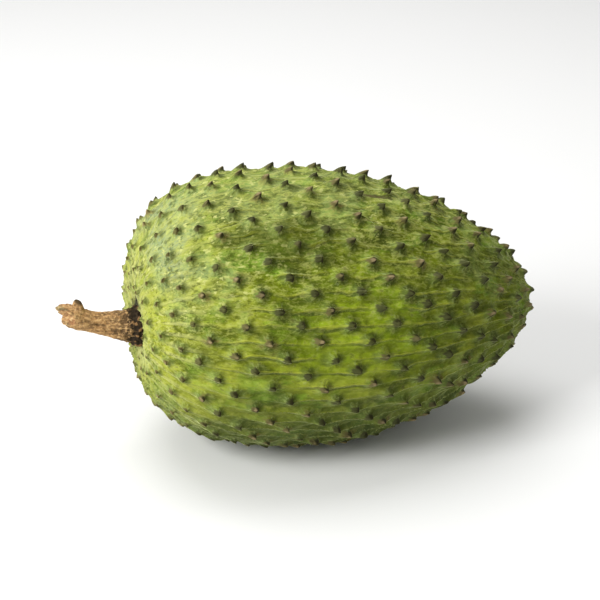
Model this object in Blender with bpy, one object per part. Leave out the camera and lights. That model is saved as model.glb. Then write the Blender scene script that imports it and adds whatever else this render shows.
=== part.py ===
"""A whole soursop lying on its side, in metres.

The long axis runs along X with the stem toward -X, +Z is up, and the fruit rests on Z = 0
with the origin under the middle of its box.
"""

import math

import bmesh
import bpy
import numpy as np
from mathutils.kdtree import KDTree

# The body, a blunt egg of round sections: its widest section is at x = 0 in its own frame.
STEM_HALF = 0.078  # from the widest section to the stem end
APEX_HALF = 0.107  # from the widest section to the apex
RADIUS = 0.0605
STEM_POWER = 2.85  # superellipse powers: 2 is an ellipse, and more is blunter
APEX_POWER = 1.68
BACK_RISE = 0.19  # how far the sections' centres stand above the stem axis, as a share of their radius
APEX_BEND = 0.010  # how far the ends curve up
DIMPLE_DEPTH = 0.0055  # the hollow that the stem grows out of
DIMPLE_RADIUS = 0.017
SHOULDER_SLANT = 0.11  # the shoulder above the stem juts out further than the one below
SHOULDER_RADIUS = 0.038
PITCH = math.radians(5.5)  # the stem end is carried higher than the apex
COS_PITCH = math.cos(PITCH)
SIN_PITCH = math.sin(PITCH)
WIDEST = np.array([0.0, 0.0, 0.0481])  # where the widest section meets the stem axis, in the part's frame

# Spines stand on one spiral. 21 turns in every 55 spines give straight ranks along the fruit.
SPIRAL_TURN = 2 * math.pi * 21 / 55
SPINE_AREA = 0.000150  # skin to each spine on the middle of the body
STEM_SPINE_AREA = 0.000040
APEX_SPINE_AREA = 0.000080
CROWDING_REACH = 0.042  # how far from an end its crowding is felt
BARE_RADIUS = 0.0125  # no spine stands this near the stem
BARE_RING = 0.009  # a ring of corners between the stem and the first spines
BARE_CORNERS = 9
BARE_APEX = 0.003
SPINE_HEIGHT = 0.0037
UNDERSIDE_SHARE = 0.40  # spines grow shorter toward the underside
SPINE_HALF_LENGTH = 0.0031
SPINE_HALF_WIDTH = 0.0023
SPINE_BACKSET = 0.0010  # the base reaches further toward the stem than toward the apex
SPINE_LEAN = 0.0016  # the tip hooks toward the apex
SPINE_SCATTER = 0.0011
MOUND_HEIGHT = 0.0005
FURROW_DEPTH = 0.0005

# The stem, in a plain round seat at the bottom of the dimple.
SEAT_RADIUS = 0.0093
SEAT_DEPTH = 0.0040
GAP = 0.0003
# Distance from the foot and radius, from the middle of the foot to the middle of the broken end.
STEM_PROFILE = (
    (0.0000, 0.0000),
    (0.0000, 0.0084),
    (0.0030, 0.0090),
    (0.0065, 0.0086),
    (0.0085, 0.0075),
    (0.0125, 0.0066),
    (0.0190, 0.0053),
    (0.0250, 0.0047),
    (0.0285, 0.0048),
    (0.0300, 0.0049),
    (0.0320, 0.0051),
    (0.0335, 0.0052),
    (0.0355, 0.0051),
    (0.0378, 0.0042),
    (0.0388, 0.0026),
    (0.0388, 0.0012),
    (0.0386, 0.0000),
)
STEM_END = STEM_PROFILE[-1][0]
STEM_SIDES = 24
STEM_RISE = 0.0068  # how far the stem's end curves up from the fruit's axis
STEM_CURVE = 2.5  # power of the rise: more keeps the shaft straight and lifts only its end
BARK_RELIEF = 0.05
BARK_WAVES = ((3, 90.0, 1.0), (5, -170.0, 0.6))  # ribs around, how they wind in radians a metre, share
LOBES = 3  # the end is broken into this many lobes
LOBE_HEIGHT = 0.0018
LOBE_START = 0.0310
LOBE_RADIUS = 0.0036
FIRST_LOBE = math.radians(105)
END_SLANT = 0.0022  # the upper side of the end reaches further than the lower side
NUB_ALONG = 0.0310  # the stub of a side shoot on the stem's upper side
NUB_RADIUS = 0.0019
NUB_POWER = 5  # more is blunter
NUB_HEIGHT = 0.0038
NUB_LEAN = 0.0008

COLLECTION = bpy.data.collections.new("Soursop")
CUTTERS = bpy.data.collections.new("Cutters")


def clear_scene():
    for old in list(bpy.data.objects):
        bpy.data.objects.remove(old)
    bpy.context.scene.collection.children.link(COLLECTION)
    bpy.context.scene.collection.children.link(CUTTERS)


def principled(name, colour, roughness):
    material = bpy.data.materials.new(name)
    material.use_nodes = True
    shader = material.node_tree.nodes["Principled BSDF"]
    shader.inputs["Base Color"].default_value = (*colour, 1.0)
    shader.inputs["Roughness"].default_value = roughness
    shader.inputs["Metallic"].default_value = 0.0
    return material


def mesh_object(name, bm, material, collection):
    bmesh.ops.recalc_face_normals(bm, faces=bm.faces[:])
    mesh = bpy.data.meshes.new(name)
    bm.to_mesh(mesh)
    bm.free()
    mesh.materials.append(material)
    thing = bpy.data.objects.new(name, mesh)
    collection.objects.link(thing)
    return thing


def section(theta):
    """Place along the axis and radius of the section at angle theta, 0 at the stem and pi at the apex."""
    along = np.cos(theta)
    across = np.sin(theta).clip(0.0)
    half = np.where(along > 0, STEM_HALF, APEX_HALF)
    power = np.where(along > 0, STEM_POWER, APEX_POWER)
    x = -np.sign(along) * half * np.abs(along) ** (2 / power)
    return x, RADIUS * across ** (2 / power)


THETAS = np.linspace(0.0, math.pi, 4001)
XS, RADII = section(THETAS)
ARC = np.concatenate([[0.0], np.cumsum(np.hypot(np.diff(XS), np.diff(RADII)))])
LENGTH = ARC[-1]
STEP = 0.0003  # for slopes of the body


def smooth_body(arc, turn):
    """Points of the bare body at a distance along the skin from the stem end and an angle about the axis."""
    x, radius = section(np.interp(arc, ARC, THETAS))
    dimple = DIMPLE_DEPTH * np.exp(-((radius / DIMPLE_RADIUS) ** 2))
    slant = SHOULDER_SLANT * radius * np.exp(-((radius / SHOULDER_RADIUS) ** 2))
    x = x + (dimple - slant * np.sin(turn)) * (x < 0)
    y = radius * np.cos(turn)
    z = radius * (np.sin(turn) + BACK_RISE) + APEX_BEND * (x / APEX_HALF) ** 2
    return np.stack([x, y, z], axis=-1)


def pitched(vectors):
    """Vectors of the body's own frame in the part's frame."""
    x, y, z = vectors[..., 0], vectors[..., 1], vectors[..., 2]
    return np.stack([x * COS_PITCH + z * SIN_PITCH, y, z * COS_PITCH - x * SIN_PITCH], axis=-1)


def unit(vectors):
    return vectors / np.linalg.norm(vectors, axis=-1, keepdims=True)


def skin(arc, turn, lift, lean):
    """Points of the part that stand lift above the body and lean toward the apex, none below the ground."""
    arc = np.clip(arc, STEP, LENGTH - 2 * STEP)
    here = smooth_body(arc, turn)
    ahead = unit(smooth_body(arc + STEP, turn) - here)
    aside = smooth_body(arc, turn + STEP / RADIUS) - here
    out = unit(np.cross(aside, ahead))
    standing = pitched(here) + WIDEST
    # What grows downward is pressed into the room that it has above the ground.
    room = standing[..., 2] / np.maximum(-pitched(out)[..., 2], 0.05)
    raised = np.minimum(lift, np.maximum(room, 0.0))
    leaned = lean * raised / np.maximum(lift, GAP)
    points = standing + pitched(out * raised[..., None] + ahead * leaned[..., None])
    points[..., 2] = np.maximum(points[..., 2], 0.0)
    return points


def area_per_spine():
    """The skin that each spine has to itself, along the skin from the stem end to the apex."""
    near_stem = np.exp(-((ARC / CROWDING_REACH) ** 2))
    near_apex = np.exp(-(((LENGTH - ARC) / CROWDING_REACH) ** 2))
    area = SPINE_AREA + (STEM_SPINE_AREA - SPINE_AREA) * near_stem
    return area + (APEX_SPINE_AREA - SPINE_AREA) * near_apex


def spine_places():
    """Distance along the skin, angle about the axis and size of every spine."""
    area = area_per_spine()
    covered = (RADII > BARE_RADIUS) | (ARC > LENGTH / 2)
    covered &= LENGTH - ARC > BARE_APEX
    per_step = np.where(covered, 2 * math.pi * RADII / area, 0.0)
    counted = np.concatenate([[0.0], np.cumsum(per_step[1:] * np.diff(ARC))])
    numbers = np.arange(int(counted[-1]))
    arc = np.interp(numbers + 0.5, counted, ARC)
    size = np.sqrt(np.interp(arc, ARC, area) / SPINE_AREA)
    scatter = np.random.default_rng(12).uniform(-1.0, 1.0, (2, len(numbers))) * SPINE_SCATTER * size
    radius = np.interp(arc, ARC, RADII)
    turn = numbers * SPIRAL_TURN + scatter[1] / radius
    return arc + scatter[0], turn, size


def direction(arc, turn):
    """Points of the unit sphere for places on the skin. The net of faces is made on the sphere."""
    polar = arc * math.pi / LENGTH
    return np.stack([-np.cos(polar), np.sin(polar) * np.cos(turn), np.sin(polar) * np.sin(turn)], axis=-1)


def place(verts):
    """Distance along the skin and angle about the axis for points near the unit sphere."""
    points = unit(np.array([vert.co[:] for vert in verts]))
    polar = np.arccos(np.clip(-points[:, 0], -1.0, 1.0))
    return polar * LENGTH / math.pi, np.arctan2(points[:, 2], points[:, 1])


def move(verts, points):
    for vert, point in zip(verts, points):
        vert.co = point


def fruit_net(spine_arc, spine_turn):
    """A closed net on the unit sphere: a foot and a tip for each spine, furrows between, and bare ends."""
    bm = bmesh.new()
    spines = [bm.verts.new(point) for point in direction(spine_arc, spine_turn)]
    bare_turn = np.arange(BARE_CORNERS) * 2 * math.pi / BARE_CORNERS
    bare = [bm.verts.new(point) for point in direction(np.full(BARE_CORNERS, BARE_RING), bare_turn)]
    bare += [bm.verts.new((-1.0, 0.0, 0.0)), bm.verts.new((1.0, 0.0, 0.0))]
    bmesh.ops.convex_hull(bm, input=bm.verts[:])
    feet = bmesh.ops.bevel(
        bm,
        geom=spines,
        offset=30,
        offset_type="PERCENT",
        segments=1,
        profile=0.5,
        material=-1,
        affect="VERTICES",
    )["faces"]
    foot_verts = list(dict.fromkeys(vert for face in feet for vert in face.verts))
    feet_kept = set(feet)
    between = [face for face in bm.faces if face not in feet_kept]
    tips = bmesh.ops.poke(bm, faces=feet, center_mode="MEAN")["verts"]
    furrows = bmesh.ops.poke(bm, faces=between, center_mode="MEAN")["verts"]
    return bm, foot_verts, tips, furrows, bare


def make_fruit():
    spine_arc, spine_turn, spine_size = spine_places()
    bm, foot_verts, tips, furrows, bare = fruit_net(spine_arc, spine_turn)
    tree = KDTree(len(spine_arc))
    for number, point in enumerate(direction(spine_arc, spine_turn)):
        tree.insert(point, number)
    tree.balance()

    # The foot of each spine is an oval, drawn out toward the stem.
    owner = np.array([tree.find(vert.co.normalized())[1] for vert in foot_verts])
    arc, turn = place(foot_verts)
    radius = np.interp(spine_arc[owner], ARC, RADII)
    forward = arc - spine_arc[owner]
    sideways = np.remainder(turn - spine_turn[owner] + math.pi, 2 * math.pi) - math.pi
    angle = np.arctan2(sideways * radius, forward)
    size = spine_size[owner]
    arc = spine_arc[owner] + (SPINE_HALF_LENGTH * np.cos(angle) - SPINE_BACKSET) * size
    turn = spine_turn[owner] + SPINE_HALF_WIDTH * np.sin(angle) * size / radius
    foot_points = skin(arc, turn, MOUND_HEIGHT * size, 0.0 * size)

    owner = np.array([tree.find(vert.co.normalized())[1] for vert in tips])
    upper_share = (1 + np.sin(spine_turn[owner])) / 2
    size = spine_size[owner] * (UNDERSIDE_SHARE + (1 - UNDERSIDE_SHARE) * upper_share)
    tip_points = skin(spine_arc[owner], spine_turn[owner], SPINE_HEIGHT * size, SPINE_LEAN * size)

    furrow_points = skin(*place(furrows), np.array(-FURROW_DEPTH), np.array(0.0))
    bare_points = skin(*place(bare), np.array(0.0), np.array(0.0))
    move(foot_verts, foot_points)
    move(tips, tip_points)
    move(furrows, furrow_points)
    move(bare, bare_points)
    return mesh_object("fruit", bm, principled("Soursop skin", (0.20, 0.28, 0.055), 0.5), COLLECTION)


def stem_foot():
    """The middle of the stem's foot, a gap above the floor of its seat."""
    dimple_floor = smooth_body(np.array(0.0), np.array(0.0))
    return pitched(dimple_floor + np.array([SEAT_DEPTH - GAP, 0.0, 0.0])) + WIDEST


def bark_swell(along, angle):
    """How much the bark's ribs widen the stem, as a share of its radius. They fade out in the seat."""
    rough = min(along / (SEAT_DEPTH * 2.5), 1.0) ** 2 * BARK_RELIEF
    return rough * sum(share * math.cos(ribs * angle + wind * along) for ribs, wind, share in BARK_WAVES)


def end_lobes(along, angle, radius):
    """How far the broken end's lobes reach past the profile."""
    broken = max(along - LOBE_START, 0.0) / (STEM_END - LOBE_START) * min(radius / LOBE_RADIUS, 1.0)
    return broken * (LOBE_HEIGHT * math.cos(LOBES * (angle - FIRST_LOBE)) + END_SLANT * math.sin(angle))


def make_stem():
    """A turned profile, curved up, with ribbed bark, the stub of a side shoot and a broken end."""
    bm = bmesh.new()
    profile = [bm.verts.new((along, radius, 0.0)) for along, radius in STEM_PROFILE]
    edges = [bm.edges.new(pair) for pair in zip(profile, profile[1:])]
    bmesh.ops.spin(
        bm,
        geom=profile + edges,
        cent=(0.0, 0.0, 0.0),
        axis=(1.0, 0.0, 0.0),
        angle=2 * math.pi,
        steps=STEM_SIDES,
    )
    bmesh.ops.remove_doubles(bm, verts=bm.verts[:], dist=1e-5)
    foot = stem_foot()
    for vert in bm.verts:
        along, y, z = vert.co
        angle = math.atan2(z, y)
        radius = math.hypot(y, z)
        from_nub = math.hypot(along - NUB_ALONG, radius * (angle - math.pi / 2))
        nub = math.exp(-((from_nub / NUB_RADIUS) ** NUB_POWER))
        x = -(along + end_lobes(along, angle, radius) + NUB_LEAN * nub)
        raised = radius * (1 + bark_swell(along, angle)) + NUB_HEIGHT * nub
        rise = STEM_RISE * (along / STEM_END) ** STEM_CURVE
        point = np.array([x, raised * math.cos(angle), raised * math.sin(angle) + rise])
        vert.co = foot + pitched(point)
    bmesh.ops.triangulate(bm, faces=bm.faces[:])
    return mesh_object("stem", bm, principled("Soursop bark", (0.30, 0.17, 0.085), 0.85), COLLECTION)


def cut_stem_seat(fruit):
    """A plain round seat at the bottom of the dimple, which the stem stands in."""
    bm = bmesh.new()
    bmesh.ops.create_cone(
        bm,
        cap_ends=True,
        segments=32,
        radius1=SEAT_RADIUS,
        radius2=SEAT_RADIUS,
        depth=4 * SEAT_DEPTH,
    )
    cutter = mesh_object("seat_cutter", bm, principled("Cutter", (0.5, 0.5, 0.5), 0.5), CUTTERS)
    cutter.rotation_euler = (0.0, math.pi / 2 + PITCH, 0.0)
    cutter.location = stem_foot() + pitched(np.array([GAP - 2 * SEAT_DEPTH, 0.0, 0.0]))
    cutter.hide_render = True
    cutter.display_type = "WIRE"
    cut = fruit.modifiers.new("Stem seat", "BOOLEAN")
    cut.operation = "DIFFERENCE"
    cut.object = cutter


clear_scene()
fruit_object = make_fruit()
cut_stem_seat(fruit_object)
make_stem()
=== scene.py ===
import math

import bmesh
import bpy
import numpy as np
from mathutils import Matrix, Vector, noise
from mathutils.kdtree import KDTree


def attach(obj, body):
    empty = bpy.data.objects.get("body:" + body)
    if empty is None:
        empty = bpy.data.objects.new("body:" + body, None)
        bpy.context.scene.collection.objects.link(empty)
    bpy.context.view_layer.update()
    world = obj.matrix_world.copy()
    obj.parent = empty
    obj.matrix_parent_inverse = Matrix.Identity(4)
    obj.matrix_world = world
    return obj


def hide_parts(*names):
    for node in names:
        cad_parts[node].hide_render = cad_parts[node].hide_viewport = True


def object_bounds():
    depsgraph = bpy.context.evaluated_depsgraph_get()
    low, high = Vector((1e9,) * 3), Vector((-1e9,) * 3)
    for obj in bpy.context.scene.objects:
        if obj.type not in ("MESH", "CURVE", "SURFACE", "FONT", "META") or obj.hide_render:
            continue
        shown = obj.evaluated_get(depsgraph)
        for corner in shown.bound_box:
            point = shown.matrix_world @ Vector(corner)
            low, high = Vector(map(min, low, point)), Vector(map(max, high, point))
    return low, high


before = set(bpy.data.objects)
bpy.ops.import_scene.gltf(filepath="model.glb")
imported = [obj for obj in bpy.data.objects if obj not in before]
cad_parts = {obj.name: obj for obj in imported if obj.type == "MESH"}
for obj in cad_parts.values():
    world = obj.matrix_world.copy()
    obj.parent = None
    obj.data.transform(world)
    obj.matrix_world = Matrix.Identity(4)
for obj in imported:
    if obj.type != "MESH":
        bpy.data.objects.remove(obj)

cad_low, cad_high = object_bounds()


# ------------------------------------------------------------------ the fruit's body
# One grown piece, a blunt egg that lies on its side with the stem end a little up. Its sections
# are round, and the shoulder above the stem juts out further than the one below it.
STEM_HALF = 0.078  # from the widest section to the stem end
APEX_HALF = 0.107
RADIUS = 0.0605
STEM_POWER = 2.85  # superellipse powers: 2 is an ellipse, and more is blunter
APEX_POWER = 1.68
BACK_RISE = 0.19  # the sections' centres stand above the stem axis by this share of their radius
APEX_BEND = 0.010  # the axis bends upward, by this much at the apex
DIMPLE_DEPTH = 0.0055
DIMPLE_RADIUS = 0.017
SHOULDER_SLANT = 0.11
SHOULDER_RADIUS = 0.038
PITCH = math.radians(5.5)
WIDEST = np.array([0.0, 0.0, 0.0481])  # where the widest section meets the stem axis
MERIDIAN_POINTS = 4001


def section(theta):
    """Place on the axis and radius of the section at theta: 0 is the stem end and pi the apex."""
    along = np.cos(theta)
    across = np.sin(theta).clip(0.0)
    half = np.where(along > 0, STEM_HALF, APEX_HALF)
    power = np.where(along > 0, STEM_POWER, APEX_POWER)
    x = -np.sign(along) * half * np.abs(along) ** (2 / power)
    return x, RADIUS * across ** (2 / power)


meridian_thetas = np.linspace(0.0, math.pi, MERIDIAN_POINTS)
meridian_x, meridian_radius = section(meridian_thetas)
meridian_arc = np.cumsum(np.hypot(np.diff(meridian_x), np.diff(meridian_radius)))
meridian_arc = np.concatenate([[0.0], meridian_arc])
LENGTH = meridian_arc[-1]


def radius_at(arc):
    return np.interp(arc, meridian_arc, meridian_radius)


def smooth_body(arc, turn):
    """Points of the bare body: arc goes along the skin from the stem, turn goes round the axis."""
    x, radius = section(np.interp(arc, meridian_arc, meridian_thetas))
    dimple = DIMPLE_DEPTH * np.exp(-((radius / DIMPLE_RADIUS) ** 2))
    slant = SHOULDER_SLANT * radius * np.exp(-((radius / SHOULDER_RADIUS) ** 2))
    x = x + (dimple - slant * np.sin(turn)) * (x < 0)
    y = radius * np.cos(turn)
    z = radius * (np.sin(turn) + BACK_RISE) + APEX_BEND * (x / APEX_HALF) ** 2
    return np.stack([x, y, z], axis=-1)


def pitched(vectors):
    """The same vectors with the fruit's axis tilted, so that its stem end is a little up."""
    x, y, z = vectors[..., 0], vectors[..., 1], vectors[..., 2]
    turned_x = x * math.cos(PITCH) + z * math.sin(PITCH)
    turned_z = z * math.cos(PITCH) - x * math.sin(PITCH)
    return np.stack([turned_x, y, turned_z], axis=-1)


def unit(vectors):
    return vectors / np.linalg.norm(vectors, axis=-1, keepdims=True)


# ------------------------------------------------------------------ where the spines stand
# The spines are what is left of the flower's many carpels. They stand on one spiral that makes
# straight ranks along the fruit, and they crowd together and shrink toward the stem and the apex.
RANKS = 55
RANKS_PER_SPINE = 21  # from one spine to the next the spiral goes round by this many ranks
SPIRAL_TURN = 2 * math.pi * RANKS_PER_SPINE / RANKS
SPINE_AREA = 0.000150  # skin to each spine, in square metres
STEM_SPINE_AREA = 0.000040
APEX_SPINE_AREA = 0.000080
CROWDING_REACH = 0.042
BARE_RADIUS = 0.0125  # no spines stand nearer to the axis than this at the stem
BARE_RING = 0.009  # a ring of corners without spines lies this far along the skin from it
BARE_CORNERS = 9
BARE_APEX = 0.003
SPINE_SCATTER = 0.0011

near_stem = np.exp(-((meridian_arc / CROWDING_REACH) ** 2))
near_apex = np.exp(-(((LENGTH - meridian_arc) / CROWDING_REACH) ** 2))
spine_area = SPINE_AREA + (STEM_SPINE_AREA - SPINE_AREA) * near_stem
spine_area = spine_area + (APEX_SPINE_AREA - SPINE_AREA) * near_apex
covered = (meridian_radius > BARE_RADIUS) | (meridian_arc > LENGTH / 2)
covered &= LENGTH - meridian_arc > BARE_APEX
per_step = np.where(covered, 2 * math.pi * meridian_radius / spine_area, 0.0)
counted = np.concatenate([[0.0], np.cumsum(per_step[1:] * np.diff(meridian_arc))])
spine_number = np.arange(int(counted[-1]))
spine_arc = np.interp(spine_number + 0.5, counted, meridian_arc)
spine_size = np.sqrt(np.interp(spine_arc, meridian_arc, spine_area) / SPINE_AREA)
scatter = np.random.default_rng(seed=12).uniform(-1.0, 1.0, (2, len(spine_number)))
scatter *= SPINE_SCATTER * spine_size
spine_turn = spine_number * SPIRAL_TURN + scatter[1] / radius_at(spine_arc)
spine_arc = spine_arc + scatter[0]


# ------------------------------------------------------------------ the skin
# Thin leathery rind, drawn up into low mounds and ridges and, on each mound, a stubby spine that
# hooks toward the apex. It is one closed skin, flattened a little where the fruit lies on it.
SKIN_CUTS = 13
PULL_REACH = 0.0050  # corners within this of a spine are drawn in toward it
PULL_POWER = 2.0
MOUND_HEIGHT = 0.0010
MOUND_LENGTH = 0.0054
MOUND_WIDTH = 0.0036
HORN_HEIGHT = 0.0028
HORN_POWER = 1.3  # more makes the spine's sides hollower
HORN_BACK = 0.0040  # how far its foot runs toward the stem, the apex and the sides
HORN_FRONT = 0.0022
HORN_SIDE = 0.0028
HORN_LEAN = 0.0014
HOOK_POWER = 1.6  # more keeps the hook to the spine's top
KNOB_FULL = 0.25  # the blunt top is full out to this share of the foot, and gone at KNOB_END
KNOB_END = 0.80
KNOB_SHARE = 0.48
HEIGHT_SPREAD = 0.22
HOOK_SPREAD = 0.35
VEER_SPREAD = 0.35
SPINE_GROWTH = (0.90, 1.08)  # size of the spines, at the stem end and from the apex half on
GROWTH_PLACES = (0.03, 0.15)
FOOT_RAGGED = 0.35
RAGGED_SCALE = 0.0030
UNDERSIDE_SHARE = 0.4  # height that the spines keep underneath
RIDGE_HEIGHT = 0.0015
RIDGE_PLACES = (0.012, 0.028, 0.052, 0.095, LENGTH - 0.04, LENGTH)
RIDGE_SHARES = (0.0, 0.6, 0.5, 1.0, 1.0, 0.0)
RIDGE_MEAN = 0.80  # ridges are stronger in some patches than in others, within the limits
RIDGE_PATCHES = 0.9
RIDGE_LIMITS = (0.15, 1.25)
RIDGE_SINK = 0.25  # share of their height that lies below the skin between them
RIDGE_ON_HORN = 0.5  # share of their height that they lose on a spine
RANK_DRIFT = 0.20  # how far the ridges wander, in ridges, over the lumps and over the wrinkles
RANK_WANDER = 0.16
CREST_POWER = 4.5  # more makes the ridges narrower
FURROW_POWER = 1.6
LINE_PLACES = (0.010, 0.025, 0.060, 0.085, LENGTH - 0.03, LENGTH)
LINE_SHARES = (0.0, 0.9, 0.8, 1.0, 0.7, 0.0)
LINE_MEAN = 0.65
LINE_PATCHES = 1.6
LINE_PATCH_SCALE = 0.016
LINE_SIDES = (-0.75, -0.25)  # sine of the turn from where on the lines fade on the underside
LINE_SIDE_SHARES = (0.3, 1.0)
# The dark line below each crest is painted shade, set off from the crest by SHADE_SHIFT.
SHADE_SHIFT = 0.9  # radians of the ridges' wave between a crest and the dark line below it
TOP_CALM = 0.5  # share of their height that the ridges lose along the fruit's top
LUMP_HEIGHT = 0.0009
LUMP_SCALE = 0.026
PATCH_SCALE = 0.015
WRINKLE_HEIGHT = 0.0006
WRINKLE_SCALE = 0.0055
FINE_HEIGHT = 0.0002
FINE_SCALE = 0.0024
APRON_RADIUS = 0.0048  # the wrinkles about a spine's foot fade out over APRON_FADE to this radius
APRON_FADE = 0.0022
STEM_END_REACH = 0.055
# Painted shade: the skin in the gap against the stem is darkened out to STEM_GAP.
STEM_GAP = 0.0118  # the dark skin against the stem ends here
STEM_GAP_FADE = 0.0035
RIPE_ARC = 0.122  # the flank that turns yellow first, drawn out along the fruit
RIPE_TURN = math.radians(166)
RIPE_HALF_LENGTH = 0.038
RIPE_HALF_WIDTH = 0.028
GREEN_ARC = 0.096  # a band above it that stays a deep green
GREEN_TURN = math.radians(129)
GREEN_HALF_LENGTH = 0.034
GREEN_HALF_WIDTH = 0.012
SCAR_ARC = 0.1400  # a healed graze on the upper side, drawn out along the fruit
SCAR_TURN = math.radians(102)
SCAR_HALF_LENGTH = 0.0085
SCAR_HALF_WIDTH = 0.0017
SCAR_DEPTH = 0.0006
GRAIN_STRETCH = 0.5  # the skin's grain is drawn out along the fruit
SINK = 0.0003  # the skin between the mounds lies this far inside the bare body
STEP = 0.0003  # for slopes of the body
NOISE_ROUGHNESS = 0.6
NOISE_FINER = 2.1  # each further layer of noise is finer by this much
SEED_SHIFT = (7.3, 3.1, 5.7)
LEAST_DROP = 0.05  # what is divided by is kept above these least values
LEAST_RADIUS = 1e-5
LEAST_LIFT = 1e-4
LEAST_LENGTH = 0.01


def sphere_points(arc, turn):
    polar = arc * math.pi / LENGTH
    across = np.sin(polar)
    return np.stack([-np.cos(polar), across * np.cos(turn), across * np.sin(turn)], axis=-1)


def noise_field(points, scale, seed, detail=2):
    """Smooth noise between about -1 and 1 at each point, with features about scale across."""
    shift = Vector([seed * step for step in SEED_SHIFT])
    places = [Vector(point) + shift for point in points / scale]
    values = [noise.fractal(place, NOISE_ROUGHNESS, NOISE_FINER, detail) for place in places]
    return np.array(values)


def finished_mesh(net, name):
    mesh = bpy.data.meshes.new(name)
    net.to_mesh(mesh)
    net.free()
    return mesh


def corners_of(mesh):
    flat = np.empty(len(mesh.vertices) * 3, np.float32)
    mesh.vertices.foreach_get("co", flat)
    return flat.reshape(-1, 3).astype(float)


def move_corners(mesh, points):
    mesh.vertices.foreach_set("co", points.astype(np.float32).ravel())
    mesh.shade_smooth()
    mesh.update()


def add_attributes(mesh, given):
    """Stores a number or a vector at each corner under each name, for the material to read."""
    for name, values in given.items():
        kind, field = ("FLOAT_VECTOR", "vector") if values.ndim == 2 else ("FLOAT", "value")
        layer = mesh.attributes.new(name, kind, "POINT")
        layer.data.foreach_set(field, values.astype(np.float32).ravel())


def new_object(name, data):
    made = bpy.data.objects.new(name, data)
    bpy.context.scene.collection.objects.link(made)
    return made


def make_skin_net():
    """A ball with a corner at each spine, cut finer; its corners are then moved to the skin."""
    net = bmesh.new()
    for point in sphere_points(spine_arc, spine_turn):
        net.verts.new(point)
    bare_turn = np.arange(BARE_CORNERS) * 2 * math.pi / BARE_CORNERS
    for point in sphere_points(np.full(BARE_CORNERS, BARE_RING), bare_turn):
        net.verts.new(point)
    net.verts.new((-1.0, 0.0, 0.0))
    net.verts.new((1.0, 0.0, 0.0))
    bmesh.ops.convex_hull(net, input=net.verts[:])
    bmesh.ops.subdivide_edges(net, edges=net.edges[:], cuts=SKIN_CUTS, use_grid_fill=True)
    bmesh.ops.recalc_face_normals(net, faces=net.faces[:])
    return finished_mesh(net, "skin")


skin_mesh = make_skin_net()
corners = unit(corners_of(skin_mesh))
arc = np.arccos(np.clip(-corners[:, 0], -1.0, 1.0)) * LENGTH / math.pi
turn = np.arctan2(corners[:, 2], corners[:, 1])

# Each corner's own spine, and its place about that spine: forward is toward the apex.
spine_places = smooth_body(spine_arc, spine_turn)
tree = KDTree(len(spine_places))
for number, point in enumerate(spine_places):
    tree.insert(point, number)
tree.balance()
owner = np.array([tree.find(point)[1] for point in smooth_body(arc, turn)])
size = (spine_size * np.interp(spine_arc, GROWTH_PLACES, SPINE_GROWTH))[owner]
forward = arc - spine_arc[owner]
sideways = np.remainder(turn - spine_turn[owner] + math.pi, 2 * math.pi) - math.pi
sideways = sideways * radius_at(arc)
reach = np.hypot(forward, sideways) / (PULL_REACH * size)
pull = np.minimum(reach, 1.0) ** (PULL_POWER - 1)
arc = spine_arc[owner] + forward * pull
turn = spine_turn[owner] + sideways * pull / np.maximum(radius_at(arc), LEAST_RADIUS)
forward = forward * pull / size
sideways = sideways * pull / size

# Every spine differs a little in height, hook and the way that it points.
draws = np.random.default_rng(seed=5).uniform(-1.0, 1.0, (5, len(spine_places)))
taller, more_hooked, turned_aside, _, browner = draws
horn_share = (1 + HEIGHT_SPREAD * taller)[owner]
hook_share = (1 + HOOK_SPREAD * more_hooked)[owner]
veer = (VEER_SPREAD * turned_aside)[owner]
upper_share = (1 + np.sin(spine_turn)) / 2
horn_share = horn_share * (UNDERSIDE_SHARE + (1 - UNDERSIDE_SHARE) * upper_share)[owner]


def spot(middle_arc, middle_turn, half_length, half_width, power=2):
    """1 in the middle of an oval on the skin and 0 well outside it; more power squares its ends."""
    along = (arc - middle_arc) / half_length
    across = np.remainder(turn - middle_turn + math.pi, 2 * math.pi) - math.pi
    across = across * radius_at(arc) / half_width
    return np.exp(-(np.abs(along) ** power) - across**2)


scar = spot(SCAR_ARC, SCAR_TURN, SCAR_HALF_LENGTH, SCAR_HALF_WIDTH, power=4)
ripe = spot(RIPE_ARC, RIPE_TURN, RIPE_HALF_LENGTH, RIPE_HALF_WIDTH)
green_band = spot(GREEN_ARC, GREEN_TURN, GREEN_HALF_LENGTH, GREEN_HALF_WIDTH)

bare = smooth_body(arc, turn)
grain_radius = np.sqrt(radius_at(arc) * RADIUS)
grain_place = [grain_radius * np.cos(turn), grain_radius * np.sin(turn), arc * GRAIN_STRETCH]
grain = np.stack(grain_place, axis=-1)
lumps = noise_field(bare, LUMP_SCALE, seed=1)
patches = noise_field(bare, PATCH_SCALE, seed=4)
coarse = noise_field(grain, WRINKLE_SCALE, seed=2, detail=3)
fine = noise_field(grain, FINE_SCALE, seed=3)

# Low ridges run along the ranks of spines, and fade out toward the stem.
rank = turn * RANKS / (2 * math.pi) + RANK_DRIFT * lumps + RANK_WANDER * coarse
phase = 2 * math.pi * rank
wave = 0.5 + 0.5 * np.cos(phase)
ridge_strength = np.interp(arc, RIDGE_PLACES, RIDGE_SHARES)
ridge_strength = ridge_strength * np.clip(RIDGE_MEAN + RIDGE_PATCHES * patches, *RIDGE_LIMITS)
ridge_strength = ridge_strength * (1 - TOP_CALM * np.clip(np.sin(turn), 0.0, 1.0) ** 2)
crest = wave**CREST_POWER * ridge_strength
furrow_shade = (1 - wave) ** FURROW_POWER * ridge_strength

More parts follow.
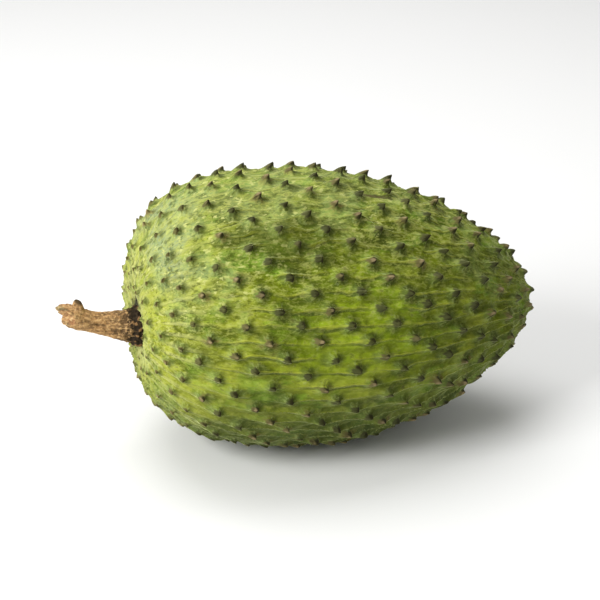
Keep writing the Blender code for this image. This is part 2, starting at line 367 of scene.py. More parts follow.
mound = np.exp(-((forward / MOUND_LENGTH) ** 2) - (sideways / MOUND_WIDTH) ** 2)
foot_length = np.where(forward < 0, HORN_BACK, HORN_FRONT)
foot = np.hypot(forward / foot_length, sideways / HORN_SIDE)
foot = foot * (1 + FOOT_RAGGED * noise_field(bare, RAGGED_SCALE, seed=6))
slope = np.clip(1 - foot, 0.0, 1.0)
knob = np.clip((KNOB_END - foot) / (KNOB_END - KNOB_FULL), 0.0, 1.0)
horn = (1 - KNOB_SHARE) * slope**HORN_POWER + KNOB_SHARE * knob * knob * (3 - 2 * knob)

ridges = RIDGE_HEIGHT * (crest - RIDGE_SINK * ridge_strength) * (1 - RIDGE_ON_HORN * horn)
lift = LUMP_HEIGHT * lumps - SINK + (WRINKLE_HEIGHT * coarse + FINE_HEIGHT * fine) * (1 - horn)
lift += MOUND_HEIGHT * mound * size + ridges
lift += HORN_HEIGHT * horn * horn_share * size - SCAR_DEPTH * scar
lean = HORN_LEAN * size * hook_share * horn**HOOK_POWER
swerve = HORN_LEAN * size * np.sin(veer) * horn**HOOK_POWER

# No point goes below the ground: near it, what stands out from the skin is pressed flat.
arc_kept = np.clip(arc, STEP, LENGTH - 2 * STEP)
here = smooth_body(arc_kept, turn)
ahead = unit(smooth_body(arc_kept + STEP, turn) - here)
aside = unit(smooth_body(arc_kept, turn + STEP / RADIUS) - here)
out = unit(np.cross(aside, ahead))
standing = pitched(here) + WIDEST
room = standing[:, 2] / np.maximum(-pitched(out)[:, 2], LEAST_DROP)
raised = np.minimum(lift, np.maximum(room, 0.0))
pressed = np.clip(room / np.maximum(lift, LEAST_LIFT), 0.0, 1.0)
shift = out * raised[:, None] + ahead * (lean * pressed)[:, None]
shift = shift + aside * (swerve * pressed)[:, None]
points = standing + pitched(shift)
points[:, 2] = np.maximum(points[:, 2], 0.0)
move_corners(skin_mesh, points)

# What the skin's material reads at each point. spine_frame is its place about its own spine, in
# millimetres, with the spine's number. crest_wave and shade_wave turn once from ridge to ridge,
# and hold how plain the lines are there.
apron = (APRON_RADIUS - np.hypot(forward, sideways)) / APRON_FADE
# The dark line of painted shade runs just below each crest, shifted along the ridges' wave.
shade_phase = phase + SHADE_SHIFT * np.cos(turn)
line_strength = LINE_MEAN + LINE_PATCHES * noise_field(bare, LINE_PATCH_SCALE, seed=8)
line_strength = np.clip(line_strength, 0.0, 1.0) * np.interp(arc, LINE_PLACES, LINE_SHARES)
line_strength = line_strength * np.interp(np.sin(turn), LINE_SIDES, LINE_SIDE_SHARES)
add_attributes(
    skin_mesh,
    {
        "horn": horn,
        "furrow_shade": furrow_shade,
        "mound": mound,
        "apron": np.clip(apron, 0.0, 1.0),
        "scar": scar,
        "ripe": ripe,
        "green_band": green_band,
        "stem_end": np.exp(-((arc / STEM_END_REACH) ** 2)),
        "stem_gap_shade": np.clip((STEM_GAP - arc) / STEM_GAP_FADE, 0.0, 1.0),
        "spine_tone": browner[owner] * 0.5 + 0.5,
        "hollow_shade": np.clip(-coarse, 0.0, 1.0),
        "spine_frame": np.stack([forward * 1000, sideways * 1000, owner], axis=-1),
        "grain": grain,
        "crest_wave": np.stack([np.cos(phase), np.sin(phase), line_strength], axis=-1),
        "shade_wave": np.stack([np.cos(shade_phase), np.sin(shade_phase), line_strength], axis=-1),
    },
)
skin = new_object("skin", skin_mesh)


class Nodes:
    """Short calls for building one node tree."""

    def __init__(self, tree):
        self.tree = tree

    def add(self, kind, settings=None, **inputs):
        node = self.tree.nodes.new(kind)
        for key, value in (settings or {}).items():
            setattr(node, key, value)
        for key, value in inputs.items():
            self.put(node.inputs[key.replace("_", " ")], value)
        return node

    def put(self, socket, value):
        if isinstance(value, bpy.types.NodeSocket):
            self.tree.links.new(value, socket)
        else:
            socket.default_value = value

    def object_place(self):
        return self.add("ShaderNodeTexCoord").outputs["Object"]

    def attribute(self, name, output="Fac"):
        return self.add("ShaderNodeAttribute", {"attribute_name": name}).outputs[output]

    def noise(self, vector, scale, detail=3.0, roughness=0.6, distortion=0.0):
        """Noise with about scale features to each unit of vector."""
        node = self.add(
            "ShaderNodeTexNoise",
            Vector=vector,
            Scale=scale,
            Detail=detail,
            Roughness=roughness,
            Distortion=distortion,
        )
        return node.outputs["Fac"]

    def math(self, operation, first, second=0.0, clamp=False):
        node = self.add("ShaderNodeMath", {"operation": operation, "use_clamp": clamp})
        self.put(node.inputs[0], first)
        self.put(node.inputs[1], second)
        return node.outputs[0]

    def between(self, value, low, high, to_low=0.0, to_high=1.0):
        """Maps low..high smoothly to to_low..to_high, and clamps outside."""
        node = self.add("ShaderNodeMapRange", {"interpolation_type": "SMOOTHSTEP"})
        for socket, given in zip(node.inputs, (value, low, high, to_low, to_high)):
            self.put(socket, given)
        return node.outputs[0]

    def distance(self, first, second):
        """How far a point with these two coordinates is from the origin."""
        point = self.add("ShaderNodeCombineXYZ", X=first, Y=second).outputs["Vector"]
        node = self.add("ShaderNodeVectorMath", {"operation": "LENGTH"})
        self.put(node.inputs[0], point)
        return node.outputs["Value"]

    def line(self, wave, low, high):
        """A line along each top of a wave given as cosine, sine and strength."""
        cosine, sine, strength = self.add("ShaderNodeSeparateXYZ", Vector=wave).outputs
        length = self.math("MAXIMUM", self.distance(cosine, sine), LEAST_LENGTH)
        level = self.between(self.math("DIVIDE", cosine, length), low, high)
        return self.math("MULTIPLY", level, strength, True)

    def mix(self, factor, first, second):
        """Mixes two colours: inputs 6 and 7 and output 2 are the node's colour sockets."""
        node = self.add("ShaderNodeMix", {"data_type": "RGBA"})
        self.put(node.inputs["Factor"], factor)
        self.put(node.inputs[6], first)
        self.put(node.inputs[7], second)
        return node.outputs[2]


def make_grain_group():
    """Fine grain for skin and bark: two noises, and the height that they add up to."""
    group = bpy.data.node_groups.new("grain", "ShaderNodeTree")
    for name, kind in {
        "Place": "NodeSocketVector",
        "Mottle Scale": "NodeSocketFloat",
        "Speck Scale": "NodeSocketFloat",
        "Mottle Height": "NodeSocketFloat",
        "Speck Height": "NodeSocketFloat",
    }.items():
        group.interface.new_socket(name, in_out="INPUT", socket_type=kind)
    for name in ("Mottle", "Speck", "Height"):
        group.interface.new_socket(name, in_out="OUTPUT", socket_type="NodeSocketFloat")
    nodes = Nodes(group)
    given = nodes.add("NodeGroupInput").outputs
    mottle = nodes.noise(given["Place"], given["Mottle Scale"], 3.0, 0.68, 0.3)
    speck = nodes.noise(given["Place"], given["Speck Scale"], 2.0, 0.6)
    height = nodes.math(
        "ADD",
        nodes.math("MULTIPLY", mottle, given["Mottle Height"]),
        nodes.math("MULTIPLY", speck, given["Speck Height"]),
    )
    result = nodes.add("NodeGroupOutput")
    for name, value in {"Mottle": mottle, "Speck": speck, "Height": height}.items():
        nodes.put(result.inputs[name], value)
    return group


grain_group = make_grain_group()


def place_grain(nodes, place, **values):
    """Places the grain with a material's own values, and gives its mottle, speck and height."""
    node = nodes.add("ShaderNodeGroup", {"node_tree": grain_group}, Place=place, **values)
    return node.outputs["Mottle"], node.outputs["Speck"], node.outputs["Height"]


def new_material(name, roughness, specular):
    material = bpy.data.materials.new(name)
    material.use_nodes = True
    shader = material.node_tree.nodes["Principled BSDF"]
    shader.inputs["Roughness"].default_value = roughness
    shader.inputs["Specular IOR Level"].default_value = specular
    return material, shader


YELLOW_GREEN = (0.365, 0.395, 0.042, 1)
LEAF_GREEN = (0.135, 0.180, 0.004, 1)
GRASS_GREEN = (0.120, 0.260, 0.020, 1)
LIME = (0.235, 0.345, 0.005, 1)
OLIVE = (0.046, 0.060, 0.003, 1)
DARK_PATCH_AND_SHADE_GREEN = (0.050, 0.070, 0.013, 1)
UNDERSIDE_SHADE_GREEN = (0.052, 0.074, 0.024, 1)
MOUND_GREEN = (0.180, 0.240, 0.055, 1)
MOUND_SHADE = (0.064, 0.088, 0.018, 1)
BLOOM_AND_HIGHLIGHT = (0.24, 0.325, 0.064, 1)
RIM_SHEEN = (0.26, 0.32, 0.185, 1)
CREAM = (0.50, 0.50, 0.210, 1)
WISP = (0.38, 0.45, 0.165, 1)
PALE = (0.46, 0.49, 0.115, 1)
FLECK = (0.56, 0.57, 0.20, 1)
KNOB_OLIVE = (0.130, 0.105, 0.030, 1)
KNOB_GREY = (0.034, 0.034, 0.010, 1)
LIT_SIDE_BROWN = (0.190, 0.155, 0.062, 1)
LIT_SIDE_GREEN = (0.120, 0.130, 0.055, 1)
CHARCOAL = (0.019, 0.017, 0.005, 1)
RUST_BROWN = (0.19, 0.125, 0.045, 1)
SCAB_AND_HIGHLIGHT_TAN = (0.33, 0.25, 0.13, 1)
SCAR_GREY = (0.060, 0.058, 0.022, 1)
GAP_SHADE_BROWN = (0.022, 0.016, 0.010, 1)


class SkinNodes(Nodes):
    """The skin's node tree, with the places and patterns that several parts of it share."""

    def __init__(self, tree):
        super().__init__(tree)
        self.where = self.object_place()
        parts = self.add("ShaderNodeSeparateXYZ", Vector=self.where)
        self.height = parts.outputs["Z"]
        self.stem_end = self.attribute("stem_end")
        self.ripe = self.attribute("ripe")
        self.apron = self.attribute("apron")
        self.mound = self.attribute("mound")
        self.lengthwise = self.attribute("grain", "Vector")
        self.mottle, self.speck, self.grain_height = place_grain(
            self,
            self.lengthwise,
            Mottle_Scale=430.0,
            Speck_Scale=900.0,
            Mottle_Height=0.5,
            Speck_Height=0.25,
        )
        self.blotch = self.noise(self.lengthwise, 120.0, 4.0, 0.6)
        self.hue = self.noise(self.lengthwise, 80.0, 4.0, 0.65)
        cloud = self.noise(self.where, 62.0, 4.0, 0.65)
        # Painted light: the bloom thins lower down, so the skin is paler toward the top.
        cloud = self.math("ADD", cloud, self.between(self.height, 0.06, 0.10, -0.05, 0.0))
        self.cloud = self.math("SUBTRACT", cloud, self.math("MULTIPLY", self.ripe, 0.15))
        spine_frame = self.attribute("spine_frame", "Vector")
        parts = self.add("ShaderNodeSeparateXYZ", Vector=spine_frame)
        self.forward, self.sideways, self.spine_number = parts.outputs
        uneven = self.between(self.mottle, 0.3, 0.7, 0.8, -0.8)
        self.leaning = self.math("ADD", self.forward, uneven)

    def bare_skin(self):
        """Leaf green, yellower at the stem end and on the ripe flank, with a grey-green bloom;
        painted shade about each spine's foot away from the stem and in the wrinkles' hollows.
        """
        colour = self.mix(self.between(self.hue, 0.50, 0.62, 0.0, 0.6), LEAF_GREEN, GRASS_GREEN)
        colour = self.mix(self.between(self.blotch, 0.42, 0.60, 0.0, 0.7), colour, OLIVE)
        patch = self.noise(self.where, 28.0, 2.0)
        warm = self.math("ADD", self.stem_end, self.between(patch, 0.3, 0.7, -0.3, 0.3))
        warm = self.math("ADD", warm, self.between(self.blotch, 0.65, 0.35, -0.25, 0.25))
        warm = self.math("ADD", warm, self.math("MULTIPLY", self.ripe, 0.55))
        colour = self.mix(self.between(warm, 0.05, 0.85, 0.08, 0.85), colour, YELLOW_GREEN)
        colour = self.mix(self.between(self.hue, 0.52, 0.64, 0.0, 0.25), colour, GRASS_GREEN)
        colour = self.mix(self.between(self.cloud, 0.50, 0.62, 0.0, 0.6), colour, BLOOM_AND_HIGHLIGHT)
        colour = self.mix(self.between(self.ripe, 0.1, 0.9, 0.0, 0.60), colour, LIME)
        # Partly the mounds' own grey-green bloom at the stem end, partly painted shade: a dark halo
        # about each spine's foot elsewhere.
        duller = self.math("ADD", self.mound, self.between(self.blotch, 0.35, 0.65, -0.3, 0.3))
        mound_colour = self.mix(self.between(self.stem_end, 0.02, 0.30), MOUND_SHADE, MOUND_GREEN)
        colour = self.mix(self.between(duller, 0.28, 0.80, 0.0, 0.75), colour, mound_colour)
        # Painted shade: darker olive in the hollows of the wrinkles.
        hollow_shade = self.between(self.attribute("hollow_shade"), 0.1, 0.7, 0.0, 0.3)
        return self.mix(hollow_shade, colour, OLIVE)

    def ridge_lines(self):
        """A thin pale crest on each ridge, partly painted highlight and broader at the stem end,
        and a dark line of painted shade below it.
        """
        crest_low = self.between(self.stem_end, 0.10, 0.50, 0.80, 0.10)
        crest_high = self.between(self.stem_end, 0.10, 0.50, 0.97, 0.90)
        crest = self.line(self.attribute("crest_wave", "Vector"), crest_low, crest_high)
        shade = self.line(self.attribute("shade_wave", "Vector"), 0.60, 0.95)
        shade = self.math("MULTIPLY", shade, self.between(self.stem_end, 0.6, 0.1))
        return crest, shade

    def ridges(self, colour, crest, shade):
        # Painted shade in the furrows and along the dark line below each crest; the pale crest line
        # is partly painted highlight.
        furrow_shade = self.between(self.attribute("furrow_shade"), 0.2, 0.9, 0.0, 0.45)
        colour = self.mix(furrow_shade, colour, OLIVE)
        colour = self.mix(self.math("MULTIPLY", shade, 0.80), colour, DARK_PATCH_AND_SHADE_GREEN)
        crest_colour = self.mix(self.between(self.stem_end, 0.15, 0.6), YELLOW_GREEN, CREAM)
        return self.mix(self.math("MULTIPLY", crest, 0.62), colour, crest_colour)

    def large_patches(self, colour):
        """Darker patches, painted shade on the underside, painted light along the top over a
        whitish bloom, a painted sheen on the shoulder by the stem, and a cream ring about it.
        """
        spared = self.math("MULTIPLY", self.math("ADD", self.stem_end, self.ripe), 0.12)
        deep = self.math("SUBTRACT", self.noise(self.where, 46.0, 2.0, 0.5), spared)
        colour = self.mix(self.between(deep, 0.49, 0.62, 0.0, 0.38), colour, DARK_PATCH_AND_SHADE_GREEN)
        # Painted light: a whitish wash along the fruit's top, partly over patches of bloom.
        top_light_and_bloom = self.between(self.cloud, 0.40, 0.60, -0.5, 0.1)
        top_light_and_bloom = self.math("ADD", self.between(self.height, 0.104, 0.122), top_light_and_bloom, True)
        colour = self.mix(self.math("MULTIPLY", top_light_and_bloom, 0.30), colour, WISP)
        # Painted shade: darker toward the bottom.
        colour = self.mix(self.between(self.height, 0.064, 0.012, 0.0, 0.78), colour, UNDERSIDE_SHADE_GREEN)
        # Painted sheen on the upper shoulder by the stem.
        shoulder = self.between(self.height, 0.078, 0.106)
        rim_sheen = self.math("MULTIPLY", shoulder, self.between(self.stem_end, 0.05, 0.6))
        rim_sheen = self.math("MULTIPLY", rim_sheen, self.between(self.cloud, 0.40, 0.58, 0.20, 0.75))
        colour = self.mix(rim_sheen, colour, RIM_SHEEN)
        ring = self.between(self.hue, 0.60, 0.42, 0.15, 0.60)
        ring = self.math("MULTIPLY", self.between(self.stem_end, 0.70, 0.95), ring)
        return self.mix(ring, colour, CREAM)

    def mottling(self, colour):
        """Fine light and dark mottling and pale corky flecks, most above and at the stem end."""
        above = self.between(self.height, 0.05, 0.11, 0.0, 0.8)
        coarser = self.math("ADD", self.stem_end, above, True)
        coarser = self.between(coarser, 0.0, 1.0, 0.25, 1.0)
        crinkle = self.noise(self.lengthwise, 330.0, 2.0, 0.6, 0.8)
        crinkle = self.math("ABSOLUTE", self.math("SUBTRACT", crinkle, 0.5))
        crinkle = self.between(crinkle, 0.05, 0.0)
        for part, share, tint in (
            (self.between(self.mottle, 0.52, 0.62), 0.55, PALE),
            (self.between(self.mottle, 0.48, 0.38), 0.62, OLIVE),
            (self.between(self.speck, 0.55, 0.66), 0.45, PALE),
            (crinkle, 0.25, PALE),
        ):
            part = self.math("MULTIPLY", self.math("MULTIPLY", part, share), coarser)
            colour = self.mix(part, colour, tint)
        cells = self.add("ShaderNodeTexVoronoi", {"feature": "F1"}, Scale=330.0, Vector=self.where)
        uneven = self.between(self.speck, 0.3, 0.7, 0.30, -0.30)
        fleck = self.math("ADD", cells.outputs["Distance"], uneven)
        fleck = self.between(fleck, 0.33, 0.17)
        drawn = self.add("ShaderNodeSeparateColor", Color=cells.outputs["Color"])
        drawn = self.between(drawn.outputs["Red"], 0.15, 0.75, 0.0, 0.62)
        fleck = self.math("MULTIPLY", fleck, drawn)
        fleck = self.math("MULTIPLY", fleck, self.between(coarser, 0.78, 1.0))
        return self.mix(fleck, colour, FLECK)

    def green_band(self, colour):
        uneven = self.between(self.blotch, 0.35, 0.65, -0.2, 0.2)
        band = self.math("ADD", self.attribute("green_band"), uneven)
        return self.mix(self.between(band, 0.1, 0.9, 0.0, 0.55), colour, OLIVE)

    def spine_rays(self):
        """Fine wrinkles that run out from the foot of each spine, and how far out they reach."""
        away = self.distance(self.forward, self.sideways)
        away = self.math("MAXIMUM", away, LEAST_LENGTH)
        own = self.math("MULTIPLY", self.spine_number, 5.3)
        ray = self.add(
            "ShaderNodeCombineXYZ",
            X=self.math("DIVIDE", self.forward, away),
            Y=self.math("DIVIDE", self.sideways, away),
            Z=self.math("ADD", own, self.math("MULTIPLY", away, 0.25)),
        )
        rays = self.noise(ray.outputs["Vector"], 2.2, 2.0, 0.6)
        about = self.math("MULTIPLY", self.between(away, 1.0, 2.0), self.apron)
        return rays, about

    def spine_feet(self, colour, rays, about):
        """Each mound has the wrinkles, paler with painted light toward the stem and darker with
        painted shade toward the apex.
        """
        light_rays = self.math("MULTIPLY", about, self.between(rays, 0.52, 0.62))
        light_share = self.between(self.stem_end, 0.05, 0.5, 0.33, 0.48)
        colour = self.mix(self.math("MULTIPLY", light_rays, light_share), colour, WISP)
        dark_rays = self.math("MULTIPLY", about, self.between(rays, 0.48, 0.36))
        dark_share = self.between(self.stem_end, 0.2, 0.9, 0.45, 0.15)
        colour = self.mix(self.math("MULTIPLY", dark_rays, dark_share), colour, MOUND_SHADE)
        # Painted light on each mound's side toward the stem, and painted shade on its side toward
        # the apex.
        before = self.math("MULTIPLY", self.apron, self.between(self.leaning, -0.6, -2.2))
        colour = self.mix(self.math("MULTIPLY", before, 0.25), colour, BLOOM_AND_HIGHLIGHT)
        apex_side_shade = self.math("MULTIPLY", self.apron, self.between(self.leaning, 0.2, 1.6))
        return self.mix(self.math("MULTIPLY", apex_side_shade, 0.70), colour, OLIVE)

    def spine_knobs(self, colour):
        """Dark knobs, olive and smaller at the stem end, with painted light on the stem side and
        painted shade on the apex side.
        """
        tone = self.attribute("spine_tone")
        horn = self.attribute("horn")
        near = self.math("MULTIPLY", self.mound, self.between(self.mottle, 0.42, 0.60))
        near = self.math("MULTIPLY", near, tone)
        colour = self.mix(self.between(near, 0.25, 0.75, 0.0, 0.45), colour, RUST_BROWN)
        ragged = self.math("ADD", horn, self.between(self.speck, 0.3, 0.7, -0.15, 0.15))
        smaller = self.between(self.stem_end, 0.1, 0.8, 0.0, 0.16)
        ragged = self.math("SUBTRACT", ragged, smaller)
        knob_colour = self.mix(self.between(self.stem_end, 0.10, 0.60), KNOB_GREY, KNOB_OLIVE)
        # Painted light on the side of each knob that faces the stem.
        lit_side_share = self.between(tone, 0.2, 0.9, 0.25, 0.65)
        lit_side = self.math("MULTIPLY", self.between(self.leaning, 0.0, -1.4), lit_side_share)
        lit_side_colour = self.mix(self.between(tone, 0.35, 0.75), LIT_SIDE_GREEN, LIT_SIDE_BROWN)
        knob_colour = self.mix(lit_side, knob_colour, lit_side_colour)
        colour = self.mix(self.between(ragged, 0.22, 0.50, 0.0, 0.92), colour, knob_colour)
        # The knob's dark tip, carried down the side that faces the apex as painted shade.
        facing_apex = self.between(self.leaning, -1.2, 0.2)
        top = self.math("MULTIPLY", self.between(ragged, 0.38, 0.68), facing_apex)
        top = self.math("MULTIPLY", top, self.between(self.stem_end, 0.1, 0.8, 0.92, 0.55))
        colour = self.mix(top, colour, CHARCOAL)
        # A tan scab on the side that faces the stem: partly real scab, partly painted highlight.
        scab_and_highlight = self.distance(self.math("ADD", self.forward, 0.75), self.sideways)
        scab_and_highlight = self.math("ADD", scab_and_highlight, self.between(self.speck, 0.3, 0.7, -0.3, 0.3))
        scab_and_highlight_share = self.between(tone, 0.45, 0.9, 0.0, 0.70)
        scab_and_highlight = self.math("MULTIPLY", self.between(scab_and_highlight, 0.95, 0.35), scab_and_highlight_share)
        scab_and_highlight = self.math("MULTIPLY", scab_and_highlight, self.between(horn, 0.3, 0.6))
        return self.mix(scab_and_highlight, colour, SCAB_AND_HIGHLIGHT_TAN)

    def graze(self, colour):
        """Grey cork with a browner middle."""
        uneven = self.between(self.mottle, 0.3, 0.7, -0.45, 0.15)
        cork = self.math("ADD", self.attribute("scar"), uneven)
        colour = self.mix(self.between(cork, 0.20, 0.50, 0.0, 0.85), colour, SCAR_GREY)
        return self.mix(self.between(cork, 0.45, 0.85, 0.0, 0.35), colour, RUST_BROWN)

    def gap_at_stem(self, colour):
        # Painted shade: the skin in the gap against the stem.
        uneven = self.between(self.mottle, 0.3, 0.7, -0.4, 0.4)
        gap_shade = self.math("ADD", self.attribute("stem_gap_shade"), uneven)
        return self.mix(self.between(gap_shade, 0.25, 0.60), colour, GAP_SHADE_BROWN)


def make_skin_material():
    material, shader = new_material("soursop skin", roughness=0.5, specular=0.06)
    nodes = SkinNodes(material.node_tree)
    crest, shade = nodes.ridge_lines()
    rays, about = nodes.spine_rays()
    colour = nodes.ridges(nodes.bare_skin(), crest, shade)
    colour = nodes.large_patches(colour)
    colour = nodes.mottling(colour)
    colour = nodes.green_band(colour)
    colour = nodes.spine_feet(colour, rays, about)
    colour = nodes.spine_knobs(colour)
    colour = nodes.graze(colour)
    colour = nodes.gap_at_stem(colour)
    nodes.put(shader.inputs["Base Color"], colour)

    relief = nodes.math("ADD", nodes.grain_height, nodes.math("MULTIPLY", crest, 0.5))
    relief = nodes.math("SUBTRACT", relief, nodes.math("MULTIPLY", shade, 0.4))
    wrinkles = nodes.math("MULTIPLY", nodes.math("MULTIPLY", rays, about), 0.5)
    relief = nodes.math("ADD", relief, wrinkles)
    bump = nodes.add("ShaderNodeBump", Strength=1.0, Distance=0.0007, Height=relief)
    nodes.put(shader.inputs["Normal"], bump.outputs["Normal"])
    nodes.put(shader.inputs["Roughness"], nodes.between(nodes.blotch, 0.3, 0.7, 0.45, 0.62))
    shader.inputs["Sheen Weight"].default_value = 0.45
    shader.inputs["Sheen Roughness"].default_value = 0.32
    shader.inputs["Sheen Tint"].default_value = (0.92, 1.0, 0.42, 1)
    return material


skin_mesh.materials.append(make_skin_material())
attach(skin, "root")
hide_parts("fruit")


# ------------------------------------------------------------------ the stem
# The woody stalk that the fruit hung from: a thick foot in the dimple, a tapered shaft that curves
# up, the stub of a side shoot, and a torn end of three prongs. It is dry, fibrous bark all over.
SEAT_DEPTH = 0.0040
GAP = 0.0003
# Distance from the foot and radius, from the middle of the foot to the middle of the broken end.
STEM_PROFILE = np.array(
    [
        (0.0000, 0.0000),
        (0.0000, 0.0084),
        (0.0030, 0.0090),
        (0.0065, 0.0086),
        (0.0085, 0.0075),
        (0.0125, 0.0066),
        (0.0190, 0.0053),
        (0.0250, 0.0047),
        (0.0285, 0.0048),
        (0.0300, 0.0049),
        (0.0320, 0.0051),
        (0.0335, 0.0052),
        (0.0355, 0.0051),
        (0.0378, 0.0042),
        (0.0388, 0.0026),
        (0.0388, 0.0012),
        (0.0386, 0.0000),
    ]
)
STEM_END = STEM_PROFILE[-1][0]
STEM_RINGS = 150
STEM_SIDES = 120
STEM_RISE = 0.0068
STEM_CURVE = 2.5  # power of the rise: more keeps the shaft straight and lifts only its end
WELD = 1e-6
SMOOTH_FOOT = 0.010  # the bark is smooth in its seat, and fully rough from here on
BARK_RELIEF = 0.05  # reliefs are shares of the radius
LONG_SWELLS = ((3, 90.0, 1.0), (5, -170.0, 0.6))  # number round the shaft, twist a metre, share
FIBRE_RELIEF = 0.055
FIBRE_SCALE = 0.0016
FIBRE_STRETCH = 0.16
KNOB_RELIEF = 0.05
KNOB_SCALE = 0.0032
CRUMB_RELIEF = 0.10
CRUMB_SCALE = 0.0017
CRUMB_END = 0.0135  # the crumbly ring about the foot fades out over CRUMB_FADE to here
CRUMB_FADE = 0.0060
PRONGS = 3
PRONG_HEIGHT = 0.0028
PRONG_START = 0.0310
PRONG_RADIUS = 0.0036
FIRST_PRONG = math.radians(105)
END_SLANT = 0.0026
END_ROUGHNESS = 0.0012
END_CUT = 0.0007  # how far short of the profile the torn end stops
NUB_ALONG = 0.0310  # the stub of a side shoot on the stem's upper side
NUB_RADIUS = 0.0019
NUB_POWER = 5
NUB_HEIGHT = 0.0038
NUB_LEAN = 0.0008


def make_stem():
    run = np.concatenate([[0.0], np.cumsum(np.hypot(*np.diff(STEM_PROFILE, axis=0).T))])
    steps = np.linspace(0.0, run[-1], STEM_RINGS)
    along = np.interp(steps, run, STEM_PROFILE[:, 0])
    radius = np.interp(steps, run, STEM_PROFILE[:, 1])
    net = bmesh.new()
    profile = [net.verts.new((x, r, 0.0)) for x, r in zip(along, radius)]
    edges = [net.edges.new(pair) for pair in zip(profile, profile[1:])]
    bmesh.ops.spin(
        net,
        geom=profile + edges,
        cent=(0.0, 0.0, 0.0),
        axis=(1.0, 0.0, 0.0),
        angle=2 * math.pi,
        steps=STEM_SIDES,
        use_merge=True,
    )
    bmesh.ops.remove_doubles(net, verts=net.verts[:], dist=WELD)
    bmesh.ops.recalc_face_normals(net, faces=net.faces[:])
    return finished_mesh(net, "stem_bark")


stem_mesh = make_stem()
bark = corners_of(stem_mesh)
along, y, z = bark.T
angle = np.arctan2(z, y)
radius = np.hypot(y, z)
lengthways = bark * np.array([FIBRE_STRETCH, 1.0, 1.0])
fibres = noise_field(lengthways, FIBRE_SCALE, seed=11, detail=3)
knobs = noise_field(bark, KNOB_SCALE, seed=12, detail=3)
crumbs = noise_field(bark, CRUMB_SCALE, seed=13)
rough = np.minimum(along / SMOOTH_FOOT, 1.0) ** 2
swells = sum(share * np.cos(count * angle + twist * along) for count, twist, share in LONG_SWELLS)
swell = rough * (BARK_RELIEF * swells + FIBRE_RELIEF * fibres + KNOB_RELIEF * knobs)
collar = np.clip((CRUMB_END - along) / CRUMB_FADE, 0.0, 1.0)
swell = swell + CRUMB_RELIEF * collar * crumbs
broken = np.maximum((along - PRONG_START) / (STEM_END - PRONG_START), 0.0)
outward = np.minimum(radius / PRONG_RADIUS, 1.0)
prong = outward * np.cos(PRONGS * (angle - FIRST_PRONG))
slant = END_SLANT * outward * np.sin(angle)
reach = broken * (PRONG_HEIGHT * prong + slant + END_ROUGHNESS * knobs - END_CUT)
from_nub = np.hypot(along - NUB_ALONG, radius * (angle - math.pi / 2))
nub = np.exp(-((from_nub / NUB_RADIUS) ** NUB_POWER))
raised = radius * (1 + swell) + NUB_HEIGHT * nub
rise = STEM_RISE * (along / STEM_END) ** STEM_CURVE
bark_x = -(along + reach + NUB_LEAN * nub)
bark = np.stack([bark_x, raised * np.cos(angle), raised * np.sin(angle) + rise], axis=-1)
dimple_floor = smooth_body(np.array(0.0), np.array(0.0))
stem_foot = pitched(dimple_floor + np.array([SEAT_DEPTH - GAP, 0.0, 0.0])) + WIDEST
move_corners(stem_mesh, stem_foot + pitched(bark))
add_attributes(
    stem_mesh,
    {
        "fibre": fibres,
        "along_stem": along / STEM_END,
        "collar": collar,
        "crumb": crumbs,
        "nub": nub,
        "prong": prong,
    },
)
stem = new_object("stem_bark", stem_mesh)


TAN = (0.39, 0.215, 0.085, 1)
LIGHT_TAN = (0.64, 0.41, 0.185, 1)
GREY_BROWN = (0.130, 0.076, 0.036, 1)
TORN_WOOD = (0.34, 0.160, 0.070, 1)
PALE_WOOD = (0.62, 0.52, 0.30, 1)
WEATHERED = (0.20, 0.19, 0.095, 1)
BLACK_BROWN = (0.018, 0.013, 0.008, 1)
STRAND_STRETCH = (0.14, 1.0, 1.0)  # the strands are drawn out along the stem


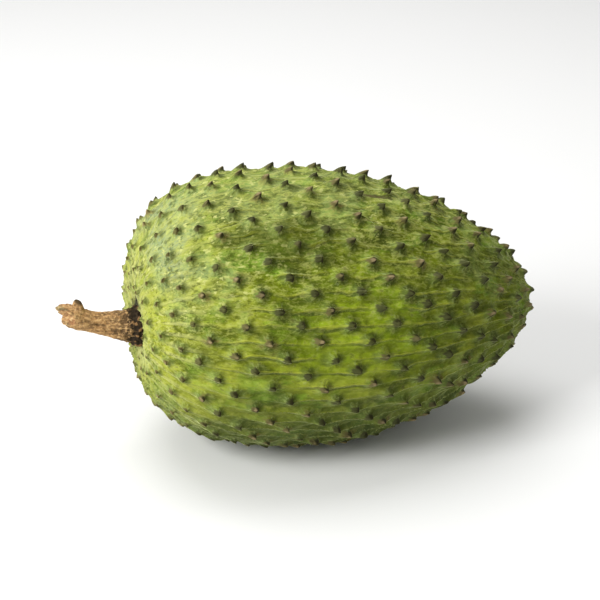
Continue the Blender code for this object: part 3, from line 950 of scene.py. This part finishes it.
def make_bark_material():
    """Tan strands over a grey-brown foot darkened with painted shade where it sits in the dimple,
    with torn wood and weathered tips at the broken end.
    """
    material, shader = new_material("soursop bark", roughness=0.85, specular=0.12)
    nodes = Nodes(material.node_tree)
    where = nodes.object_place()
    drawn_out = nodes.add("ShaderNodeVectorMath", {"operation": "MULTIPLY"})
    nodes.put(drawn_out.inputs[0], where)
    nodes.put(drawn_out.inputs[1], STRAND_STRETCH)
    strand = nodes.noise(drawn_out.outputs["Vector"], 950.0, 3.0, 0.6)
    flake, grit, relief = place_grain(
        nodes,
        where,
        Mottle_Scale=280.0,
        Speck_Scale=750.0,
        Mottle_Height=0.6,
        Speck_Height=0.6,
    )
    reach = nodes.between(flake, 0.3, 0.7, -0.15, 0.15)
    reach = nodes.math("ADD", nodes.attribute("along_stem"), reach)
    colour = nodes.mix(nodes.between(reach, 0.30, 0.58), GREY_BROWN, TAN)
    colour = nodes.mix(nodes.between(reach, 0.62, 0.9, 0.0, 0.4), colour, LIGHT_TAN)
    colour = nodes.mix(nodes.between(strand, 0.54, 0.66, 0.0, 0.45), colour, LIGHT_TAN)
    colour = nodes.mix(nodes.between(strand, 0.48, 0.36, 0.0, 0.75), colour, GREY_BROWN)
    torn = nodes.between(reach, 0.84, 0.97)
    torn_share = nodes.math("MULTIPLY", torn, nodes.between(flake, 0.38, 0.55, 0.2, 0.9))
    colour = nodes.mix(torn_share, colour, TORN_WOOD)
    pale_share = nodes.math("MULTIPLY", torn, nodes.between(grit, 0.55, 0.66))
    colour = nodes.mix(pale_share, colour, PALE_WOOD)
    tip = nodes.between(nodes.attribute("prong"), 0.1, 0.7, 0.0, 0.75)
    tip = nodes.math("MULTIPLY", nodes.between(reach, 0.90, 1.0), tip)
    colour = nodes.mix(tip, colour, WEATHERED)
    fibre = nodes.attribute("fibre")
    colour = nodes.mix(nodes.between(fibre, 0.0, 0.8, 0.0, 0.5), colour, LIGHT_TAN)
    colour = nodes.mix(nodes.between(fibre, 0.0, -0.8, 0.0, 0.45), colour, BLACK_BROWN)
    colour = nodes.mix(nodes.between(grit, 0.52, 0.66, 0.0, 0.55), colour, LIGHT_TAN)
    colour = nodes.mix(nodes.between(grit, 0.47, 0.35, 0.0, 0.6), colour, GREY_BROWN)
    # Painted shade on the stem's foot where it sits in the dimple.
    collar = nodes.attribute("collar")
    collar_shade = nodes.math("ADD", collar, nodes.between(grit, 0.35, 0.65, 0.25, -0.25))
    colour = nodes.mix(nodes.between(collar_shade, 0.2, 0.8, 0.0, 0.95), colour, BLACK_BROWN)
    crumb = nodes.between(nodes.attribute("crumb"), 0.15, 0.55, 0.0, 0.55)
    colour = nodes.mix(nodes.math("MULTIPLY", collar, crumb), colour, TAN)
    cut = nodes.between(nodes.attribute("nub"), 0.65, 0.95, 0.0, 0.85)
    colour = nodes.mix(cut, colour, BLACK_BROWN)
    nodes.put(shader.inputs["Base Color"], colour)
    bump = nodes.add("ShaderNodeBump", Strength=1.0, Distance=0.0010, Height=relief)
    nodes.put(shader.inputs["Normal"], bump.outputs["Normal"])
    return material


stem_mesh.materials.append(make_bark_material())
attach(stem, "root")
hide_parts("stem")


# ------------------------------------------------------------------ floor, light and camera
# A plain pale floor under soft white light that comes mostly from above the stem's side.
FLOOR_HALF = 3.0


def make_floor():
    net = bmesh.new()
    bmesh.ops.create_grid(net, x_segments=1, y_segments=1, size=FLOOR_HALF)
    mesh = finished_mesh(net, "floor")
    material = bpy.data.materials.new("floor paint")
    material.use_nodes = True
    shader = material.node_tree.nodes["Principled BSDF"]
    shader.inputs["Base Color"].default_value = (0.88, 0.88, 0.87, 1)
    shader.inputs["Roughness"].default_value = 0.9
    mesh.materials.append(material)
    return new_object("floor", mesh)


make_floor()


def add_softbox(name, place, target, width, watts):
    light = bpy.data.lights.new(name, "AREA")
    light.energy = watts
    light.size = width
    lamp = new_object(name, light)
    lamp.location = place
    lamp.rotation_euler = (Vector(target) - Vector(place)).to_track_quat("-Z", "Y").to_euler()


middle = Vector((0.0, 0.0, (cad_low[2] + cad_high[2]) / 2))
add_softbox("key", (-0.80, -0.36, 0.60), middle, width=0.45, watts=10.4)
add_softbox("fill", (0.7, -0.7, 0.45), middle, width=0.8, watts=0.6)
add_softbox("top", (-0.05, 0.35, 0.95), middle, width=0.9, watts=7.0)

WORLD_LIGHT = 0.36
world = bpy.data.worlds.new("studio")
bpy.context.scene.world = world
world.use_nodes = True
background = world.node_tree.nodes["Background"]
background.inputs["Color"].default_value = (1, 1, 1, 1)
background.inputs["Strength"].default_value = WORLD_LIGHT
bpy.context.scene.view_settings.view_transform = "Standard"

CAMERA_AZIMUTH = math.radians(-16)
CAMERA_ELEVATION = math.radians(25)
CAMERA_DISTANCE = 0.92
CAMERA_LENS = 125
camera_data = bpy.data.cameras.new("camera")
camera_data.lens = CAMERA_LENS
camera = new_object("camera", camera_data)
view_from = Vector(
    (
        math.sin(CAMERA_AZIMUTH) * math.cos(CAMERA_ELEVATION),
        -math.cos(CAMERA_AZIMUTH) * math.cos(CAMERA_ELEVATION),
        math.sin(CAMERA_ELEVATION),
    )
)
camera.location = middle + view_from * CAMERA_DISTANCE
camera.rotation_euler = (-view_from).to_track_quat("-Z", "Y").to_euler()
bpy.context.scene.camera = camera
